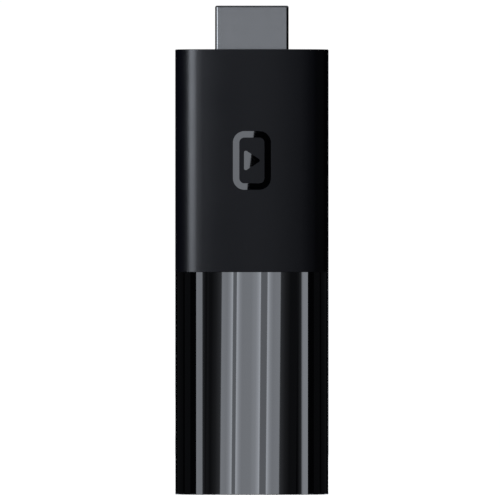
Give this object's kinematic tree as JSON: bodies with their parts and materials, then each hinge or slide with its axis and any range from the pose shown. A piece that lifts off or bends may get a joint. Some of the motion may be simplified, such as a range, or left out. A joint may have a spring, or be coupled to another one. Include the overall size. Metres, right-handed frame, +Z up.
{
  "type": "streaming media player",
  "caption": "Slim two-tone stick that plugs into a television's video socket and streams media, with a power socket in its side.",
  "frame": {"origin": "middle of the closed end that the stick stands on", "axes": "+Z up along the stick to the mouth of its video plug; the face with the emblem looks along -Y; the power socket opens along -X"},
  "size_m": [0.029, 0.0152, 0.0924],
  "materials": {
    "matte_shell": "very fine matte moulding texture",
    "gloss_shell": "high gloss, polished mould",
    "emblem_gloss": "high gloss inlay, flush with the matte shell",
    "plug_steel": "satin plated, dark grey",
    "socket_steel": "satin plated",
    "shield_steel": "tin plated sheet",
    "contact_gold": "gold flash over nickel",
    "connector_plastic": "moulded, satin",
    "carrier_plastic": "moulded, satin",
    "light_pipe_clear": "clear moulded plastic, polished",
    "board_laminate": "solder mask over glass laminate",
    "chip_mould": "moulded package",
    "ceramic": "sintered ceramic with tinned ends",
    "lamp_package": "white moulded package",
    "spreader_aluminium": "mill finish",
    "thermal_pad": "soft filled silicone"
  },
  "bodies": {
    "root": {"upper_sleeve": "matte_shell", "lower_sleeve": "gloss_shell", "emblem_outline": "emblem_gloss", "emblem_arrow": "emblem_gloss", "plug_shell": "plug_steel", "plug_core": "connector_plastic", "plug_front_carrier": "connector_plastic", "plug_back_carrier": "connector_plastic", "plug_front_contacts": "contact_gold", "plug_back_contacts": "contact_gold", "plug_rear_cover": "shield_steel", "socket_shell": "socket_steel", "socket_housing": "connector_plastic", "socket_contacts": "contact_gold", "light_pipe": "light_pipe_clear", "indicator_led": "lamp_package", "carrier_frame": "carrier_plastic", "main_board": "board_laminate", "main_processor": "chip_mould", "memory_chips": "chip_mould", "storage_chip": "chip_mould", "power_regulators": "chip_mould", "power_inductors": "chip_mould", "ceramic_capacitors": "ceramic", "chip_resistors": "chip_mould", "crystals": "shield_steel", "surge_protectors": "chip_mould", "wireless_module": "board_laminate", "wireless_module_can": "shield_steel", "wifi_antenna": "shield_steel", "bluetooth_antenna": "shield_steel", "front_shield_fence": "shield_steel", "front_shield_lid": "shield_steel", "rear_shield_fence": "shield_steel", "rear_shield_lid": "shield_steel", "processor_thermal_pad": "thermal_pad", "storage_thermal_pad": "thermal_pad", "front_spreader_pad": "thermal_pad", "rear_spreader_pad": "thermal_pad", "front_heat_spreader": "spreader_aluminium", "rear_heat_spreader": "spreader_aluminium"}
  },
  "joints": []
}
